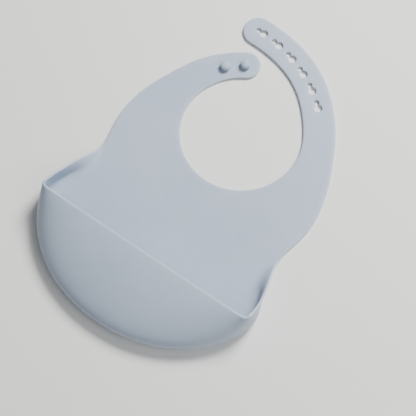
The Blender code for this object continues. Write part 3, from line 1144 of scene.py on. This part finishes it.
class Value:
    """A socket or a number in an expression, which adds its own Math nodes."""

    def __init__(self, shader: "Shader", source: "bpy.types.NodeSocket | float") -> None:
        """Wraps a socket or a number.

        Args:
            shader: The material that the nodes are added to.
            source: The socket or the number.
        """
        self.shader = shader
        self.source = source

    def _math(self, operation: str, other: "Value | float") -> "Value":
        """This value and another through one Math node."""
        inputs = {0: self, 1: other}
        return self.shader.node("ShaderNodeMath", {"operation": operation}, inputs, "Value")

    def __add__(self, other: "Value | float") -> "Value":
        """The sum."""
        return self._math("ADD", other)

    def __mul__(self, other: "Value | float") -> "Value":
        """The product."""
        return self._math("MULTIPLY", other)

    def __sub__(self, other: "Value | float") -> "Value":
        """The difference."""
        return self._math("SUBTRACT", other)

    def __rsub__(self, other: float) -> "Value":
        """A number less this value."""
        return Value(self.shader, other)._math("SUBTRACT", self)

    __radd__ = __add__
    __rmul__ = __mul__

    def between(self, low: float, high: float) -> "Value":
        """How far the value has come from low to high, smoothly and kept from 0 to 1.

        Args:
            low: Where the result is 0.
            high: Where the result is 1.

        Returns:
            The share.
        """
        settings = {"interpolation_type": "SMOOTHSTEP"}
        inputs = {"Value": self, "From Min": low, "From Max": high}
        return self.shader.node("ShaderNodeMapRange", settings, inputs, "Result")


class Shader:
    """One node material, built from its surface back to its textures."""

    def __init__(self, name: str) -> None:
        """Makes a material with a plain surface.

        Args:
            name: The material's name.
        """
        self.material = bpy.data.materials.new(name)
        self.material.use_nodes = True
        self.tree = self.material.node_tree
        self.surface = self.tree.nodes["Principled BSDF"]

    def node(self, kind: str, settings: dict, inputs: dict, output: str) -> Value:
        """Adds a node.

        Args:
            kind: The node's type.
            settings: Its settings, such as an operation.
            inputs: What each of its sockets holds: a number, a colour or a value.
            output: The socket that is wanted.

        Returns:
            That socket.
        """
        made = self.tree.nodes.new(kind)
        for key, setting in settings.items():
            setattr(made, key, setting)
        for key, given in inputs.items():
            self.feed(made.inputs[key], given)
        return Value(self, made.outputs[output])

    def feed(self, socket: bpy.types.NodeSocket, given: "Value | float | tuple") -> None:
        """Sets a socket, or links it.

        Args:
            socket: The socket.
            given: What it gets.
        """
        source = given.source if isinstance(given, Value) else given
        if isinstance(source, bpy.types.NodeSocket):
            self.tree.links.new(source, socket)
        else:
            socket.default_value = source

    def place(self) -> Value:
        """The place on the unbent bib, in metres."""
        return self.node("ShaderNodeAttribute", {"attribute_name": REST}, {}, "Vector")

    def edge(self) -> Value:
        """How much of an edge the surface is."""
        return self.node("ShaderNodeAttribute", {"attribute_name": EDGE}, {}, "Fac")

    def noise(self, where: Value, cell: float, detail: float, roughness: float = 0.5) -> Value:
        """Soft noise.

        Args:
            where: The place that it depends on.
            cell: The size of its cells in metres.
            detail: How many finer layers it has.
            roughness: How strong those are.

        Returns:
            A value round 0.5.
        """
        inputs = {"Vector": where, "Scale": 1.0 / cell, "Detail": detail, "Roughness": roughness}
        return self.node("ShaderNodeTexNoise", {}, inputs, "Fac")

    def mixed(self, share: Value, first: "Value | tuple", second: "Value | tuple") -> Value:
        """One colour turned into another.

        Args:
            share: How much of the second.
            first: A colour.
            second: A colour.

        Returns:
            The mixed colour.
        """
        made = self.tree.nodes.new("ShaderNodeMix")
        made.data_type = "RGBA"
        self.feed(made.inputs[0], share)
        self.feed(made.inputs[6], first)
        self.feed(made.inputs[7], second)
        return Value(self, made.outputs[2])

    def bump(self, height: Value, depth: float, under: Value | None = None) -> Value:
        """A bumped normal.

        Args:
            height: The height, about 0 to 1.
            depth: How deep a height of 1 is, in metres.
            under: A normal that it adds to.

        Returns:
            The normal.
        """
        inputs: dict = {"Height": height, "Distance": depth, "Strength": 1.0}
        if under is not None:
            inputs["Normal"] = under
        return self.node("ShaderNodeBump", {}, inputs, "Normal")


@dataclass(frozen=True)
class MattSilicone:
    """The satin blue-grey silicone of the whole bib.

    Args:
        deep: The colour where the surface is cleanest.
        pale: The colour where it is a little bloomed.
        edge: The colour of its thin lit edges, a painted highlight standing for light caught by
            the rounded edges.
        lint: The colour of a speck of dust.
        roughness: The middle roughness.
        speck_cell: How far apart specks could lie, in metres.
    """

    deep: tuple = (0.392, 0.470, 0.584, 1.0)
    pale: tuple = (0.436, 0.515, 0.626, 1.0)
    edge: tuple = (0.520, 0.590, 0.675, 1.0)
    lint: tuple = (0.700, 0.705, 0.705, 1.0)
    roughness: float = 0.50
    speck_cell: float = 0.0045

    def material(self) -> bpy.types.Material:
        """Builds the finish.

        Returns:
            The material.
        """
        shader = Shader("matt_silicone")
        where = shader.place()
        cloud = shader.noise(where, 0.075, 3.0)
        mottle = shader.noise(where, 0.011, 4.0, 0.6)
        grain = shader.noise(where, 0.0011, 3.0, 0.6)
        stipple = shader.noise(where, 0.00035, 2.0, 0.6)
        bloom = cloud.between(0.3, 0.7) * 0.6 + mottle.between(0.3, 0.75) * 0.4
        cells = {"Vector": where, "Scale": 1.0 / self.speck_cell, "Randomness": 1.0}
        near = shader.node("ShaderNodeTexVoronoi", {"feature": "F1"}, cells, "Distance")
        chance = shader.node("ShaderNodeTexVoronoi", {"feature": "F1"}, cells, "Color")
        red = shader.node("ShaderNodeSeparateColor", {}, {"Color": chance}, "Red")
        chosen = red.between(0.93, 0.95)
        speck = (1.0 - near.between(0.02, 0.05)) * chosen
        # The edges are made lighter in colour, a painted highlight for light caught by the rounded
        # edges, and a little less rough.
        edge_nearness = shader.edge()
        painted_edge_highlight = edge_nearness * (0.45 + 0.3 * mottle)
        colour = shader.mixed(bloom, self.deep, self.pale)
        # Painted highlight along the edges.
        colour = shader.mixed(painted_edge_highlight, colour, self.edge)
        colour = shader.mixed(speck * 0.5, colour, self.lint)
        shader.feed(shader.surface.inputs["Base Color"], colour)
        rough = self.roughness + 0.10 * (mottle - 0.5) + 0.12 * (cloud - 0.5)
        rough = rough + 0.06 * (grain - 0.5)
        shader.feed(shader.surface.inputs["Roughness"], rough + 0.2 * speck - 0.04 * edge_nearness)
        skin = shader.bump(mottle, 0.00006)
        skin = shader.bump(grain, 0.00003, skin)
        skin = shader.bump(stipple + speck, 0.00001, skin)
        shader.feed(shader.surface.inputs["Normal"], skin)
        shader.surface.inputs["IOR"].default_value = 1.42
        shader.surface.inputs["Sheen Weight"].default_value = 0.10
        shader.surface.inputs["Sheen Roughness"].default_value = 0.5
        return shader.material


@dataclass(frozen=True)
class StudioPaper:
    """The pale paper under the bib.

    Args:
        colour: Its colour.
        shade: Its slightly darker cloudings.
    """

    colour: tuple = (0.93, 0.915, 0.89, 1.0)
    shade: tuple = (0.87, 0.855, 0.83, 1.0)

    def material(self) -> bpy.types.Material:
        """Builds the finish.

        Returns:
            The material.
        """
        shader = Shader("studio_paper")
        where = shader.node("ShaderNodeTexCoord", {}, {}, "Object")
        cloud = shader.noise(where, 0.4, 3.0)
        colour = shader.mixed(cloud, self.colour, self.shade)
        shader.feed(shader.surface.inputs["Base Color"], colour)
        shader.surface.inputs["Roughness"].default_value = 0.9
        return shader.material


# --- Studio --------------------------------------------------------------------------


@dataclass
class Studio:
    """The floor, the light and the camera.

    Args:
        aim: The point that the camera looks at, in metres.
        azimuth: The way round it looks, in degrees from straight up the bib.
        elevation: How steeply it looks down, in degrees.
        distance: How far away it is, in metres.
        lens: Its focal length in millimetres.
    """

    aim: tuple = (0.0153, 0.0297, 0.001)
    azimuth: float = 34.92
    elevation: float = 68.32
    distance: float = 1.2225
    lens: float = 129.8

    def floor(self) -> bpy.types.Object:
        """Lays the paper just under the bib.

        Returns:
            The paper.
        """
        half, row = 3.0, 13
        line = np.linspace(-half, half, row)
        points = [(x, y, -0.0002) for y in line for x in line]
        corners = [j * row + i for j in range(row - 1) for i in range(row - 1)]
        faces = [(k, k + 1, k + row + 1, k + row) for k in corners]
        mesh = bpy.data.meshes.new("paper")
        mesh.from_pydata(points, [], faces)
        mesh.update()
        made = bpy.data.objects.new("paper", mesh)
        made.data.materials.append(StudioPaper().material())
        bpy.context.scene.collection.objects.link(made)
        return made

    def lamp(
        self, name: str, place: tuple, size: float, watts: float, colour: tuple
    ) -> bpy.types.Object:
        """Hangs a square soft light that points at the bib.

        Args:
            name: Its name.
            place: Where it hangs, in metres.
            size: The length of its side, in metres.
            watts: Its power.
            colour: Its colour.

        Returns:
            The lamp.
        """
        data = bpy.data.lights.new(name, "AREA")
        data.shape = "SQUARE"
        data.size = size
        data.energy = watts
        data.color = colour
        made = bpy.data.objects.new(name, data)
        made.location = place
        towards = Vector(self.aim) - Vector(place)
        made.rotation_euler = towards.to_track_quat("-Z", "Y").to_euler()
        bpy.context.scene.collection.objects.link(made)
        return made

    def camera(self) -> bpy.types.Object:
        """Sets up the camera and makes it the scene's.

        Returns:
            The camera.
        """
        a, e = math.radians(self.azimuth), math.radians(self.elevation)
        back = Vector((math.sin(a) * math.cos(e), -math.cos(a) * math.cos(e), math.sin(e)))
        data = bpy.data.cameras.new("camera")
        data.lens = self.lens
        data.sensor_width = 36.0
        data.clip_end = 20.0
        made = bpy.data.objects.new("camera", data)
        made.location = Vector(self.aim) + back * self.distance
        made.rotation_euler = (-back).to_track_quat("-Z", "Y").to_euler()
        bpy.context.scene.collection.objects.link(made)
        bpy.context.scene.camera = made
        return made

    def build(self) -> None:
        """Sets up the whole studio."""
        self.floor()
        self.lamp("key", (0.16, 1.1, 1.25), 0.6, 46.0, (1.0, 0.995, 0.985))
        self.lamp("fill", (1.0, -0.1, 1.2), 1.2, 9.0, (0.95, 0.98, 1.0))
        self.camera()
        world = bpy.context.scene.world or bpy.data.worlds.new("studio")
        bpy.context.scene.world = world
        world.use_nodes = True
        sky = world.node_tree.nodes["Background"]
        sky.inputs["Color"].default_value = (0.93, 0.96, 1.0, 1.0)
        sky.inputs["Strength"].default_value = 0.2


def main() -> None:
    """Builds the bib and its studio and writes how big it came out."""
    pieces = Pocket().build() + Straps().build() + Studs().build()
    finish = MattSilicone().material()
    for piece in pieces:
        piece.data.materials.append(finish)
        log.info("%s: %d faces", piece.name, len(piece.data.polygons))
    Studio().build()


if __name__ == "__main__":
    logging.basicConfig(level=logging.INFO, format="%(name)s: %(message)s")
    main()
